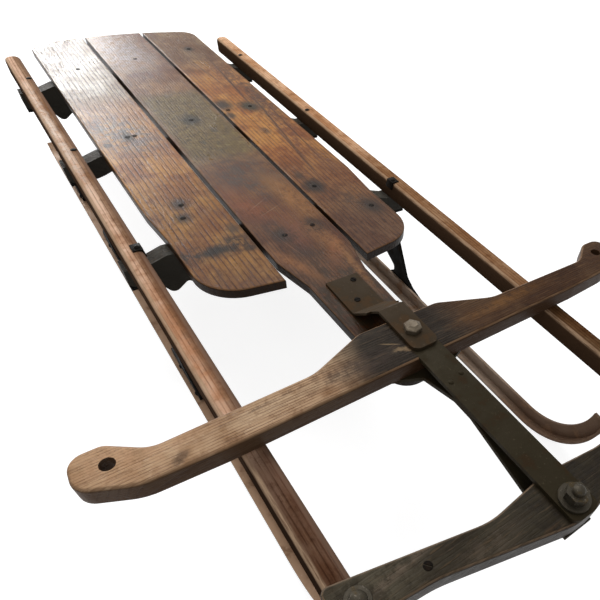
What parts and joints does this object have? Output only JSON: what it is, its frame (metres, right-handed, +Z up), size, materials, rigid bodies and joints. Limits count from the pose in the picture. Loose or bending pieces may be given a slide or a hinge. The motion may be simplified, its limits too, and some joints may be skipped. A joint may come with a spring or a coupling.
{
  "type": "runner sled",
  "caption": "Steerable wooden runner sled with a slatted deck, side rails, a pivoting steering bar, a bowed front bar and flexible iron runners.",
  "frame": {"origin": "on the ground under the middle of the sled's length and width, with the runners' flat undersides at z = 0", "axes": "+X forward, +Y to the rider's left, +Z up"},
  "size_m": [1.1799, 0.5886, 0.1998],
  "materials": {
    "deck_wood": "old varnish, dull",
    "rail_wood": "old varnish, dull",
    "bench_wood": "weathered",
    "steering_wood": "old varnish, worn",
    "front_bar_wood": "dark, weathered",
    "runner_iron": "rusty",
    "black_iron": "old black paint",
    "rusty_bolts": "rusty"
  },
  "bodies": {
    "frame": {"bench_front": "bench_wood", "bench_middle": "bench_wood", "bench_rear": "bench_wood", "knee_front_left": "black_iron", "knee_front_right": "black_iron", "knee_middle_left": "black_iron", "knee_middle_right": "black_iron", "knee_rear_left": "black_iron", "knee_rear_right": "black_iron", "pivot_bolt": "rusty_bolts", "pivot_nut": "rusty_bolts", "pivot_plate": "black_iron", "pivot_spacer": "rusty_bolts", "rail_left": "rail_wood", "rail_right": "rail_wood", "runner_left": "runner_iron", "runner_right": "runner_iron", "slat_centre": "deck_wood", "slat_left": "deck_wood", "slat_right": "deck_wood"},
    "steering": {"steering_bar": "steering_wood", "tongue_lower": "black_iron", "tongue_upper": "black_iron"},
    "front": {"centre_bolt": "rusty_bolts", "centre_nut": "rusty_bolts", "centre_washer": "rusty_bolts", "end_bolt_left": "rusty_bolts", "end_bolt_right": "rusty_bolts", "front_bar": "front_bar_wood"}
  },
  "joints": [
    {"name": "steer", "type": "hinge", "parent": "frame", "child": "steering", "pos_m": [0.3625, 0, 0.17], "axis": [0, 0, 1], "range_deg": [-8, 8], "stiffness_Nm_per_rad": 120},
    {"name": "front_shift", "type": "slide", "parent": "frame", "child": "front", "axis": [0, 1, 0], "range_m": [-0.0297, 0.0297], "deforming": ["rail_left", "rail_right", "runner_left", "runner_right"]}
  ],
  "couplings": [
    {"joint": "front_shift", "follows": "steer", "m_per_rad": 0.211}
  ]
}
